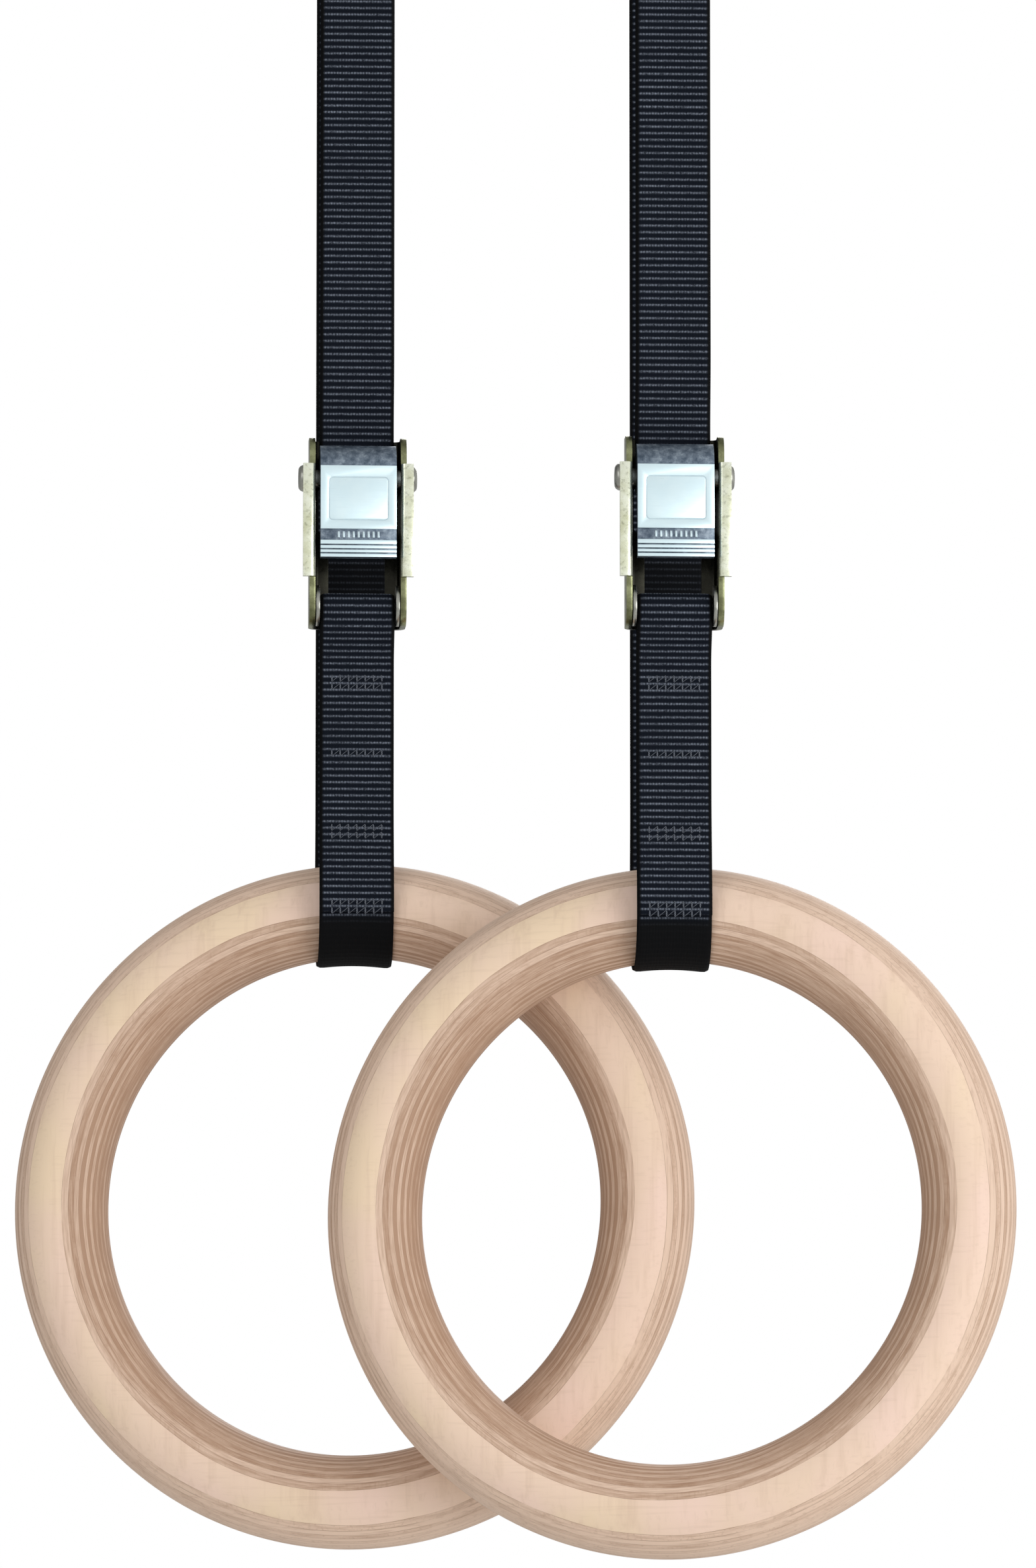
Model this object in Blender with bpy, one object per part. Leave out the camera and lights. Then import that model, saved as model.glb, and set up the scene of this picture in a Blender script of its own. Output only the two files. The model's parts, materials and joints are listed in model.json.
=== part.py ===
"""A pair of wooden gymnastics rings on webbing straps with cam buckles.

Metres, +Z up, +X to the right, and the buckles face -Y. The origin is midway between
the axes of the two bars, one behind the other, that the top loops hang over. The two
sets are alike: the right one hangs in front, and their rings overlap side by side.
Each ring hangs a little turned in its loop, which is wide enough to let it.
"""
import math

import bmesh
import bpy

# Driving dimensions
RING_OUTER_D = 0.235
TUBE_D = 0.032
HANG = 0.450                # bar axis down to ring centre
SET_SPACING_X = 0.105       # between the two sets, side by side
SET_SPACING_Y = 0.058       # one behind the other, so that the tubes clear by 3 mm
SET_DROP = 0.008            # the front bar is a little lower than the one behind
RING_TURN_DEG = -12         # how a ring at rest is turned in its loop
WEB_W = 0.0254              # webbing, one inch wide
WEB_T = 0.0016
GAP = 0.0003                # left between pieces that touch
BAR_ROOM_R = 0.0164         # inside of the top loop, for a 32 mm bar
SWING_DEG = 45              # the way that each set can swing, which the loop leaves open

# Buckle, as heights above the ring's centre and depths in front of the ring's plane
FRAME_LOW, FRAME_HIGH = 0.197, 0.262
FLANGE_LOW, FLANGE_HIGH = 0.2130, 0.2520
PLATE_T = 0.0018            # base plate
SIDE_T = 0.0020
SIDE_IN = 0.0146            # inner face of a side plate, from the middle
FLANGE_OUT = 0.0189
BASE_BACK, FLANGE_FRONT = -0.0134, -0.0315
WINDOW_LOW, WINDOW_HIGH = 0.230, 0.246
WINDOW_HALF = 0.0136
BRIDGE_LOW = 0.2245         # below here the base is open, between a lip along each side
OPEN_HALF = 0.0110
PIN_Y, PIN_H, PIN_R = -0.0240, 0.2478, 0.0030
PIN_HEAD_R, PIN_HEAD_L = 0.0046, 0.0036
BAR_Y, BAR_H, BAR_R = -0.0226, 0.2040, 0.0025
COLLAR_R, COLLAR_T = 0.0070, 0.0013     # collars that keep the webbing off the side plates
LUG_R = 0.0070              # round lug about the fixed bar
LEVER_HALF = 0.0130
SPRING_R, SPRING_WIRE_R, SPRING_TURNS = 0.0039, 0.0005, 2.5

# Webbing, as heights above the ring's centre
SPLIT_H = 0.141             # above here it goes with the buckle, below with the ring
BIGHT_H = 0.1005            # centre of the bend under the tube
BIGHT_Y, BIGHT_DROP = 0.0208, 0.0184    # the bend's half width and depth, to mid webbing
SEWN_END_H = 0.0985
TAIL_H = 0.438
TACK_HEIGHTS = (0.179, 0.155, 0.1285, 0.1015)
TACK_HALF_W, TACK_HALF_H, TACK_TICKS = 0.0093, 0.0015, 7

TUBE_R = TUBE_D / 2
RING_R = RING_OUTER_D / 2 - TUBE_R
RUN_Y = BAR_ROOM_R + WEB_T / 2
LAP_Y = RUN_Y + WEB_T + GAP
BASE_FRONT = BASE_BACK - PLATE_T


def up(height):
    """Z of a height that is measured from the ring's centre."""
    return height - HANG


# Materials


def make_material(name, colour, roughness, metallic):
    material = bpy.data.materials.new(name)
    material.use_nodes = True
    shader = material.node_tree.nodes["Principled BSDF"]
    shader.inputs["Base Color"].default_value = (*colour, 1.0)
    shader.inputs["Roughness"].default_value = roughness
    shader.inputs["Metallic"].default_value = metallic
    return material


def make_materials():
    return {
        "birch": make_material("birch", (0.62, 0.44, 0.30), 0.55, 0.0),
        "webbing": make_material("webbing", (0.015, 0.018, 0.025), 0.85, 0.0),
        "thread": make_material("thread", (0.03, 0.035, 0.045), 0.7, 0.0),
        "zinc_yellow": make_material("zinc_yellow", (0.60, 0.58, 0.40), 0.4, 0.9),
        "zinc_cast": make_material("zinc_cast", (0.62, 0.70, 0.76), 0.35, 0.9),
        "steel": make_material("steel", (0.55, 0.55, 0.56), 0.3, 1.0),
    }


# Solids


def add_object(name, mesh, material, parent, location=(0.0, 0.0, 0.0)):
    obj = bpy.data.objects.new(name, mesh)
    bpy.context.scene.collection.objects.link(obj)
    obj.parent = parent
    obj.location = location
    if material:
        mesh.materials.append(material)
    return obj


def add_empty(name, parent, location):
    return add_object(name, None, None, parent, location)


def finish_mesh(bm, name):
    bmesh.ops.recalc_face_normals(bm, faces=bm.faces)
    mesh = bpy.data.meshes.new(name)
    bm.to_mesh(mesh)
    bm.free()
    return mesh


def smooth(mesh):
    mesh.shade_smooth()
    mesh.set_sharp_from_angle(angle=math.radians(35))
    return mesh


def offset_sides(route, thickness):
    """Both edges of a band of the given thickness along a flat route, with mitred corners."""
    sides = []
    for i, (u, v) in enumerate(route):
        before = route[max(i - 1, 0)]
        after = route[min(i + 1, len(route) - 1)]
        a = (u - before[0], v - before[1]) if i else (after[0] - u, after[1] - v)
        b = (after[0] - u, after[1] - v) if i < len(route) - 1 else a
        a_len, b_len = math.hypot(*a), math.hypot(*b)
        na = (-a[1] / a_len, a[0] / a_len)
        nb = (-b[1] / b_len, b[0] / b_len)
        scale = thickness / 2 / (1 + na[0] * nb[0] + na[1] * nb[1])
        du, dv = (na[0] + nb[0]) * scale, (na[1] + nb[1]) * scale
        sides.append(((u + du, v + dv), (u - du, v - dv)))
    return sides


def band_mesh(name, route, thickness, low, high, place):
    """A flat band along a route: place(u, v, w) puts a point of it in space."""
    bm = bmesh.new()
    rows = []
    for (au, av), (bu, bv) in offset_sides(route, thickness):
        corners = (place(au, av, low), place(au, av, high), place(bu, bv, high), place(bu, bv, low))
        rows.append([bm.verts.new(corner) for corner in corners])
    for row, following in zip(rows, rows[1:]):
        for k in range(4):
            bm.faces.new((row[k], row[(k + 1) % 4], following[(k + 1) % 4], following[k]))
    bm.faces.new(rows[0])
    bm.faces.new(rows[-1][::-1])
    return smooth(finish_mesh(bm, name))


def webbing_mesh(name, route):
    """Webbing along a route of (y, z) points, its width along X."""
    return band_mesh(name, route, WEB_T, -WEB_W / 2, WEB_W / 2, lambda y, z, x: (x, y, z))


def prism_mesh(name, outline, low, high, place):
    """An outline of (u, v) points, drawn out from low to high: place(u, v, w) as above."""
    bm = bmesh.new()
    face = bm.faces.new([bm.verts.new(place(u, v, low)) for u, v in outline])
    drawn = bmesh.ops.extrude_face_region(bm, geom=[face])["geom"]
    step = [b - a for a, b in zip(place(0, 0, low), place(0, 0, high))]
    moved = [v for v in drawn if isinstance(v, bmesh.types.BMVert)]
    bmesh.ops.translate(bm, verts=moved, vec=step)
    return finish_mesh(bm, name)


def turned_mesh(name, profile, segments=24):
    """A solid turned about X, from a profile of (x, radius) points."""
    bm = bmesh.new()
    rings = []
    for x, radius in profile:
        turns = [2 * math.pi * k / segments for k in range(segments)]
        rings.append([bm.verts.new((x, radius * math.cos(t), radius * math.sin(t))) for t in turns])
    for ring, following in zip(rings, rings[1:]):
        for k in range(segments):
            n = (k + 1) % segments
            bm.faces.new((ring[k], ring[n], following[n], following[k]))
    bm.faces.new(rings[0])
    bm.faces.new(rings[-1][::-1])
    return smooth(finish_mesh(bm, name))


def arc(centre, radius, start_deg, end_deg, steps):
    """Points on an arc. Its angle is measured from +Y towards +Z on a side outline."""
    points = []
    for k in range(steps + 1):
        t = math.radians(start_deg + (end_deg - start_deg) * k / steps)
        points.append((centre[0] + radius * math.cos(t), centre[1] + radius * math.sin(t)))
    return points


def eased(start, end, steps=8):
    """Points of a gentle S from start to end, upright at both ends."""
    points = []
    for k in range(steps + 1):
        t = k / steps
        s = (1 - math.cos(math.pi * t)) / 2
        points.append((start[0] + (end[0] - start[0]) * s, start[1] + (end[1] - start[1]) * t))
    return points


def cut(obj, cutter, operation="DIFFERENCE"):
    modifier = obj.modifiers.new(cutter.name, "BOOLEAN")
    modifier.object = cutter
    modifier.operation = operation
    modifier.solver = "EXACT"
    cutter.hide_render = True
    cutter.display_type = "WIRE"


def along_x(u, v, w):
    return (w, u, v)


def box_mesh(name, low, high):
    outline = [(low[1], low[2]), (high[1], low[2]), (high[1], high[2]), (low[1], high[2])]
    return prism_mesh(name, outline, low[0], high[0], along_x)


# Webbing


def top_loop(side, materials, root, swings_back):
    """The bend that lies on the bar. It stops short where the swinging run wraps on."""
    gap_deg = math.degrees(GAP / RUN_Y)
    back_end = gap_deg + (SWING_DEG if swings_back else 0)
    front_end = 180 - gap_deg - (0 if swings_back else SWING_DEG)
    route = arc((0, 0), RUN_Y, back_end, front_end, 14)
    add_object(f"{side}_top_loop", webbing_mesh("top_loop", route), materials["webbing"], root)


def front_webbing(side, materials, swing):
    """From the bar down behind the frame's top bar, round under it and up again as the tail."""
    behind, before = BASE_BACK + GAP + WEB_T / 2, BASE_FRONT - GAP - WEB_T / 2
    turn = ((behind + before) / 2, up(WINDOW_HIGH))
    above, below = up(FRAME_HIGH + 0.030), up(FRAME_HIGH + 0.002)
    tail_y = -RUN_Y - WEB_T - 1.5 * GAP
    route = [(-RUN_Y, 0.0)]
    route += eased((-RUN_Y, above), (behind, below))
    route += arc(turn, (behind - before) / 2, 0, -180, 8)
    route += eased((before, below), (tail_y, above))
    route += [(tail_y, up(TAIL_H))]
    mesh = webbing_mesh("front_webbing", route)
    add_object(f"{side}_front_webbing", mesh, materials["webbing"], swing)


def rear_webbing(side, materials, swing):
    route = [(RUN_Y, 0.0), (RUN_Y, up(SPLIT_H) + GAP / 2)]
    mesh = webbing_mesh("rear_webbing", route)
    add_object(f"{side}_rear_webbing", mesh, materials["webbing"], swing)


def sewn_fold(side, materials, swing):
    """The end of the webbing, folded round the fixed bar and sewn back on itself."""
    bend = BAR_R + GAP + WEB_T / 2
    low = up(SPLIT_H) + GAP / 2
    route = [(-RUN_Y, low)]
    route += eased((-RUN_Y, up(0.186)), (BAR_Y + bend, up(BAR_H - 0.005)))
    route += arc((BAR_Y, up(BAR_H)), bend, 0, 180, 12)
    route += eased((BAR_Y - bend, up(BAR_H - 0.001)), (-LAP_Y, up(0.184)))
    route += [(-LAP_Y, low)]
    add_object(f"{side}_sewn_fold", webbing_mesh("sewn_fold", route), materials["webbing"], swing)


def flare(height):
    """How much further from the middle the loop's two sides stand than above the split."""
    share = min(max((SPLIT_H - height) / (SPLIT_H - BIGHT_H), 0), 1)
    return (BIGHT_Y - RUN_Y) * (1 - math.cos(math.pi * share)) / 2


def ring_bight(side, materials, turn):
    """The bend under the ring's tube, wide enough for a tube that lies askew in it."""
    top = SPLIT_H - GAP / 2
    round_bend = arc((0, 0), 1, 180, 360, 24)
    route = eased((-RUN_Y, top), (-BIGHT_Y, BIGHT_H))
    route += [(BIGHT_Y * y, BIGHT_H + BIGHT_DROP * z) for y, z in round_bend[1:-1]]
    route += eased((BIGHT_Y, BIGHT_H), (RUN_Y, top))
    add_object(f"{side}_ring_bight", webbing_mesh("ring_bight", route), materials["webbing"], turn)


def sewn_end(side, materials, turn):
    """The last of the sewn webbing, which ends just in front of the tube."""
    shift = BIGHT_Y - RUN_Y
    route = [(-LAP_Y - shift, SEWN_END_H)]
    route += eased((-LAP_Y - shift, BIGHT_H), (-LAP_Y, SPLIT_H - GAP / 2))
    add_object(f"{side}_sewn_end", webbing_mesh("sewn_end", route), materials["webbing"], turn)


def bar_tacks(side, materials, swing, turn):
    """Rows of zigzag stitching across the sewn webbing."""
    back = -LAP_Y - WEB_T / 2 - GAP
    front = back - 0.0004
    for number, height in enumerate(TACK_HEIGHTS, start=1):
        parent, middle = (swing, up(height)) if height > SPLIT_H else (turn, height)
        route = []
        for k in range(2 * TACK_TICKS + 1):
            x = TACK_HALF_W * (k / TACK_TICKS - 1)
            route.append((x, middle + TACK_HALF_H * (-1) ** k))
        lean = 0 if parent is swing else 1
        place = lambda x, z, y: (x, y - lean * flare(z), z)
        mesh = band_mesh("bar_tack", route, 0.0004, front, back, place)
        add_object(f"{side}_bar_tack_{number}", mesh, materials["thread"], parent)


# Buckle


def frame_section():
    """The folded channel's section of (x, y) points, with flanges turned outwards."""
    side_out = SIDE_IN + SIDE_T
    flange_back = FLANGE_FRONT + SIDE_T
    half = [
        (side_out, BASE_BACK),
        (side_out, flange_back),
        (FLANGE_OUT, flange_back),
        (FLANGE_OUT, FLANGE_FRONT),
        (SIDE_IN, FLANGE_FRONT),
        (SIDE_IN, BASE_FRONT),
    ]
    return half + [(-x, y) for x, y in reversed(half)]


def frame_outline():
    """The frame from the side, as (y, z) points: two round lugs and a proud middle."""
    clear = 0.002
    shoulder = FLANGE_FRONT + SIDE_T + 0.0005
    low_lug = arc((BAR_Y, up(BAR_H)), LUG_R, 180, 270, 8)
    top_lug = arc((BAR_Y, up(FRAME_HIGH - LUG_R)), LUG_R, 90, 180, 8)
    outline = [(BASE_BACK + clear, up(FRAME_HIGH))]
    outline += top_lug
    outline += [(shoulder, up(FLANGE_HIGH)), (FLANGE_FRONT - clear, up(FLANGE_HIGH))]
    outline += [(FLANGE_FRONT - clear, up(FLANGE_LOW)), (shoulder, up(FLANGE_LOW))]
    outline += low_lug
    outline += [(BASE_BACK + clear, up(FRAME_LOW))]
    return outline


def buckle_frame(side, materials, swing):
    mesh = prism_mesh("buckle_frame", frame_section(), up(0.190), up(0.270), lambda x, y, z: (x, y, z))
    frame = add_object(f"{side}_buckle_frame", mesh, materials["zinc_yellow"], swing)
    reach = FLANGE_OUT + 0.002
    outline = prism_mesh("side_outline", frame_outline(), -reach, reach, along_x)
    cut(frame, add_object(f"{side}_outline_guide", outline, None, swing), "INTERSECT")
    for name, half, low, high in (
        ("window", WINDOW_HALF, WINDOW_LOW, WINDOW_HIGH),
        ("opening", OPEN_HALF, FRAME_LOW - 0.002, BRIDGE_LOW),
    ):
        corner = (-half, BASE_FRONT - 0.002, up(low))
        cutter = box_mesh(name, corner, (half, BASE_BACK + 0.002, up(high)))
        cut(frame, add_object(f"{side}_{name}_cutter", cutter, None, swing))
    for hole, y, height, radius in (("pin", PIN_Y, PIN_H, PIN_R), ("bar", BAR_Y, BAR_H, BAR_R)):
        profile = [(-reach, radius + GAP), (reach, radius + GAP)]
        drill = turned_mesh(f"{hole}_hole", profile)
        cutter = add_object(f"{side}_{hole}_hole_cutter", drill, None, swing, (0, y, up(height)))
        cut(frame, cutter)


def fixed_bar(side, materials, swing):
    """The bar that the sewn fold goes round, with a thin collar inside each side plate."""
    end = SIDE_IN + SIDE_T
    collar_out = SIDE_IN - GAP
    half = [(collar_out - COLLAR_T, BAR_R), (collar_out - COLLAR_T, COLLAR_R)]
    half += [(collar_out, COLLAR_R), (collar_out, BAR_R), (end, BAR_R)]
    profile = [(-x, r) for x, r in reversed(half)] + half
    mesh = turned_mesh("fixed_bar", profile)
    add_object(f"{side}_fixed_bar", mesh, materials["steel"], swing, (0, BAR_Y, up(BAR_H)))


def lever_pin(side, materials, swing):
    """The riveted pin, with a domed head outside each side plate."""
    seat = SIDE_IN + SIDE_T + GAP
    half = [(seat, PIN_R), (seat, PIN_HEAD_R)]
    for k in range(4):
        t = math.radians(90 * k / 4)
        half.append((seat + PIN_HEAD_L * (0.4 + 0.6 * math.sin(t)), PIN_HEAD_R * math.cos(t)))
    half.append((seat + PIN_HEAD_L, PIN_HEAD_R * 0.2))
    profile = [(-x, r) for x, r in reversed(half)] + half
    mesh = turned_mesh("lever_pin", profile)
    add_object(f"{side}_lever_pin", mesh, materials["steel"], swing, (0, PIN_Y, up(PIN_H)))


def lever_outline():
    """The cam lever from the side, as (y, z) points about the pin: going round from the
    top, down the front with its thumb ribs, up behind the plate and up the teeth."""
    front, band, back = -0.0090, -0.0082, -0.0048
    outline = arc((-0.0005, 0.0028), 0.0085, 75, 170, 8)
    outline += [(front, -0.0184), (band, -0.0187), (band, -0.0226)]
    for k in range(3):
        z = -0.0229 - 0.0019 * k
        outline += [(front - 0.0003, z), (front - 0.0003, z - 0.0010), (band, z - 0.0014)]
    outline += [(-0.0074, -0.0286), (-0.0056, -0.0286), (back, -0.0276)]
    outline += [(back, -0.0075)]
    outline += arc((0, 0), 0.0058, 245, 360, 8)
    tooth_tip = BASE_FRONT - 2 * GAP - WEB_T - PIN_Y
    for k in range(4):
        z = 0.0012 + 0.0019 * k
        outline += [(tooth_tip - 0.0012, z), (tooth_tip, z + 0.0014)]
    return outline


def cam_lever(side, materials, swing):
    mesh = prism_mesh("cam_lever", lever_outline(), -LEVER_HALF, LEVER_HALF, along_x)
    lever = add_object(f"{side}_cam_lever", mesh, materials["zinc_cast"], swing, (0, PIN_Y, up(PIN_H)))
    bore = turned_mesh("lever_bore", [(-0.016, PIN_R + GAP), (0.016, PIN_R + GAP)])
    cut(lever, add_object(f"{side}_lever_bore_cutter", bore, None, lever))
    room = SPRING_R + SPRING_WIRE_R + GAP
    pocket = box_mesh("spring_pocket", (-0.0042, -room, -0.0100), (0.0042, 0.0090, room))
    cut(lever, add_object(f"{side}_spring_pocket_cutter", pocket, None, lever))


def lever_spring(side, materials, swing):
    """A torsion spring round the pin: one leg on the lever's plate, one on the base plate."""
    end_x = 0.0029
    turned = 180 + 360 * (SPRING_TURNS - 0.5)
    steps = round(14 * SPRING_TURNS)
    points = [(end_x, -SPRING_R, -0.0120)]
    for k in range(steps + 1):
        t = math.radians(180 - turned * k / steps)
        x = end_x * (1 - 2 * k / steps)
        points.append((x, SPRING_R * math.cos(t), SPRING_R * math.sin(t)))
    points.append((-end_x, BASE_FRONT - GAP - SPRING_WIRE_R - PIN_Y, -0.0220))
    curve = bpy.data.curves.new("lever_spring", "CURVE")
    curve.dimensions = "3D"
    curve.bevel_depth = SPRING_WIRE_R
    curve.bevel_resolution = 1
    curve.use_fill_caps = True
    spline = curve.splines.new("POLY")
    spline.points.add(len(points) - 1)
    for point, place in zip(spline.points, points):
        point.co = (*place, 1.0)
    add_object(f"{side}_lever_spring", curve, materials["steel"], swing, (0, PIN_Y, up(PIN_H)))


# Ring


def wooden_ring(side, materials, spin):
    bpy.ops.mesh.primitive_torus_add(
        major_segments=60, minor_segments=18, major_radius=RING_R, minor_radius=TUBE_R,
    )
    ring = bpy.context.object
    ring.name = f"{side}_ring"
    ring.rotation_euler = (math.radians(90), 0, 0)
    ring.parent = spin
    ring.data.shade_smooth()
    ring.data.materials.append(materials["birch"])


def ring_set(side, materials, bar, swings_back):
    """One ring on its strap. It swings about the bar, and its ring turns below the buckle."""
    root = add_empty(f"{side}_bar_axis", None, bar)
    swing = add_empty(f"{side}_swing_axis", root, (0, 0, 0))
    turn = add_empty(f"{side}_turn_axis", swing, (0, 0, up(0)))
    spin = add_empty(f"{side}_spin_axis", turn, (0, 0, 0))
    spin.rotation_euler = (0, 0, math.radians(RING_TURN_DEG))
    top_loop(side, materials, root, swings_back)
    front_webbing(side, materials, swing)
    rear_webbing(side, materials, swing)
    sewn_fold(side, materials, swing)
    buckle_frame(side, materials, swing)
    fixed_bar(side, materials, swing)
    lever_pin(side, materials, swing)
    cam_lever(side, materials, swing)
    lever_spring(side, materials, swing)
    bar_tacks(side, materials, swing, turn)
    ring_bight(side, materials, turn)
    sewn_end(side, materials, turn)
    wooden_ring(side, materials, spin)


def main():
    for obj in list(bpy.data.objects):
        bpy.data.objects.remove(obj, do_unlink=True)
    materials = make_materials()
    x, y, z = SET_SPACING_X / 2, SET_SPACING_Y / 2, SET_DROP / 2
    ring_set("left", materials, (-x, y, z), swings_back=True)
    ring_set("right", materials, (x, -y, -z), swings_back=False)


main()
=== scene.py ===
"""Looks for a pair of wooden gymnastics rings on webbing straps with cam buckles.

Each piece is made once in a set's own space, whose origin is the middle of its bar, and is
then copied to the left and the right set. X runs along the bar, and the buckle faces -Y.
"""
import json
import math

import bmesh
import bpy
import numpy as np
from mathutils import Matrix, Vector


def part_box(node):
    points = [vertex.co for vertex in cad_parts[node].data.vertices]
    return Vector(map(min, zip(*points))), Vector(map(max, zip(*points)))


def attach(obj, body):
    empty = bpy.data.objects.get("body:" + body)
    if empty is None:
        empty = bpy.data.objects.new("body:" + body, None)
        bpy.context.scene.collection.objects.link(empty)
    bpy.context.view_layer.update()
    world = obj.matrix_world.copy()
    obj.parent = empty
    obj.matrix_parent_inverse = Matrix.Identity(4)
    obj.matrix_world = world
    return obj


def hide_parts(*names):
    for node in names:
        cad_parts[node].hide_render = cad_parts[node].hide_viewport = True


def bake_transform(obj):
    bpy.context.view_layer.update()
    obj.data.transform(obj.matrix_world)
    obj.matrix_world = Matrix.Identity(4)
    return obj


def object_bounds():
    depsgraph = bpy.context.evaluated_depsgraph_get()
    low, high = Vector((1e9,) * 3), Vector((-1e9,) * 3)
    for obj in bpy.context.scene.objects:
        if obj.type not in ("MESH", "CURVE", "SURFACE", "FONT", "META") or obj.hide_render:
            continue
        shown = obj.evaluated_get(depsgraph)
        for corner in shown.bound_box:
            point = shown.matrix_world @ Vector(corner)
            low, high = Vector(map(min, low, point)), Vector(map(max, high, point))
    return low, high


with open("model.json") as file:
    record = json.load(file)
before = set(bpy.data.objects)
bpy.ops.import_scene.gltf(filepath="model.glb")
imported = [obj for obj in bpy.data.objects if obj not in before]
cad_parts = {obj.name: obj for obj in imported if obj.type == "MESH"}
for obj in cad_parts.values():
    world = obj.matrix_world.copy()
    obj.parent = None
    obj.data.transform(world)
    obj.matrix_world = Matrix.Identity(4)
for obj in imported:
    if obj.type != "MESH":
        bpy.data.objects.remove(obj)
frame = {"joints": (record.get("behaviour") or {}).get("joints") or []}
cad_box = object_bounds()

MM = 0.001
SIDES = ("left", "right")
JOINTS = {joint["name"]: joint for joint in frame["joints"]}


def joint_place(name):
    return Vector(JOINTS[name]["pos_m"])


# Sizes that the frame gives
BAR_PLACE = {side: joint_place(f"{side}_swing") for side in SIDES}
RING_LOW, RING_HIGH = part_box("left_ring")
RING_R = (RING_HIGH.z - RING_LOW.z) / 2
RING_CENTRE_Z = joint_place("left_ring_spin").z - BAR_PLACE["left"].z
RING_AXIS = Vector(JOINTS["left_ring_spin"]["axis"])
RING_TURN = -math.atan2(RING_AXIS.x, RING_AXIS.y)
PIN = joint_place("left_lever_press") - BAR_PLACE["left"]
REAR_LOW, REAR_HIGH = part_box("left_rear_webbing")
WEB_W, WEB_T = REAR_HIGH.x - REAR_LOW.x, REAR_HIGH.y - REAR_LOW.y
RUN_Y = (REAR_LOW.y + REAR_HIGH.y) / 2 - BAR_PLACE["left"].y
SEWN_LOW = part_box("left_sewn_end")[0].z - BAR_PLACE["left"].z
TAIL_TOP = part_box("left_front_webbing")[1].z - BAR_PLACE["left"].z - 12 * MM
LEVER_LOW, LEVER_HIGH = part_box("left_cam_lever")

# Other sizes
TUBE_R = 16 * MM
GAP = 0.3 * MM
LAP_Y = RUN_Y + WEB_T + GAP
FRAME_LOW, FRAME_HIGH = 197 * MM, 262 * MM      # heights here are above the ring's centre
FLANGE_LOW, FLANGE_HIGH = 213.0 * MM, 252.0 * MM
WINDOW_LOW, WINDOW_HIGH, WINDOW_HALF = 230 * MM, 246 * MM, 13.4 * MM
BRIDGE_LOW, OPEN_HALF = 224.5 * MM, 9.7 * MM    # the base is open below its lower bridge
SHEET_T = 2.0 * MM
BASE_Y, FLANGE_Y = -15.3 * MM, -31.5 * MM
SIDE_X, FLANGE_X = 14.6 * MM, 18.9 * MM
FIXED_BAR = Vector((0, -22.6 * MM, 204 * MM))
FIXED_BAR_R, COLLAR_R, COLLAR_T = 2.5 * MM, 7.0 * MM, 1.3 * MM
PIN_R, PIN_HEAD_R, PIN_HEAD_L = 3.0 * MM, 4.6 * MM, 3.6 * MM
SPLIT_HIGH, BIGHT_HIGH = 141 * MM, 100.5 * MM   # the runs spread between these, to pass the tube
BIGHT_Y, BIGHT_DROP = 20.8 * MM, 17.8 * MM      # the bend under the tube, to mid webbing
BIGHT_CROWN = 0.9 * MM                          # how far the ring's curve lifts its middle
RIB_PITCH, RIB_DEPTH = 2.28 * MM, 0.22 * MM
SPLIT_Z = -200 * MM                             # where one strap is two pieces, behind


def up(height):
    """Z in a set's own space of a height above the ring's centre."""
    return height + RING_CENTRE_Z


# Shader building


class Wire:
    """An output of a node. Sums and products of wires add Math nodes."""

    def __init__(self, bench, socket):
        self.bench, self.socket = bench, socket

    def __add__(self, other):
        return self.bench.math("ADD", self, other)

    def __sub__(self, other):
        return self.bench.math("SUBTRACT", self, other)

    def __rsub__(self, other):
        return self.bench.math("SUBTRACT", other, self)

    def __mul__(self, other):
        return self.bench.math("MULTIPLY", self, other)

    def __truediv__(self, other):
        return self.bench.math("DIVIDE", self, other)

    def __pow__(self, other):
        return self.bench.math("POWER", self, other)

    __radd__, __rmul__ = __add__, __mul__


def socket_name(key):
    return key.replace("_", " ").title().replace("Ior", "IOR")


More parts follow.
